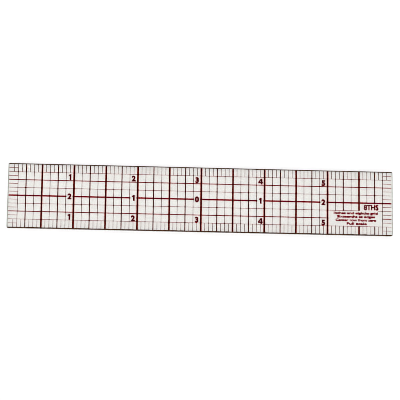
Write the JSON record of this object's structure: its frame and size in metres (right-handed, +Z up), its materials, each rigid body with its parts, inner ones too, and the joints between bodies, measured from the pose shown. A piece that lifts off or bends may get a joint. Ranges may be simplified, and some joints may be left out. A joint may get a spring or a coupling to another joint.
{
  "type": "quilting ruler",
  "caption": "Clear flat ruler with a printed inch graph, inch numerals in three rows and sloping drawing edges on both long sides.",
  "frame": {"origin": "middle of the ruler's underside, on the surface that it lies on", "axes": "+X along the ruler, from inch 0 to inch 6 of the outer rows; +Y across it, towards the edge above the numerals' heads; +Z up, out of the face that the ruler is read from"},
  "size_m": [0.154, 0.0262, 0.0014],
  "materials": {
    "clear_plate": "clear rigid plastic, smooth and glossy",
    "backing_film": "clear thin laminate film, slightly satin",
    "ink": "printed crimson and dark maroon ink"
  },
  "bodies": {
    "root": {"clear_plate": "clear_plate", "backing_film": "backing_film", "printed_grid": "ink", "numeral_center_left_1": "ink", "numeral_center_left_2": "ink", "numeral_center_middle_0": "ink", "numeral_center_right_1": "ink", "numeral_center_right_2": "ink", "numeral_lower_1": "ink", "numeral_lower_2": "ink", "numeral_lower_3": "ink", "numeral_lower_4": "ink", "numeral_lower_5": "ink", "numeral_upper_1": "ink", "numeral_upper_2": "ink", "numeral_upper_3": "ink", "numeral_upper_4": "ink", "numeral_upper_5": "ink"}
  },
  "joints": []
}
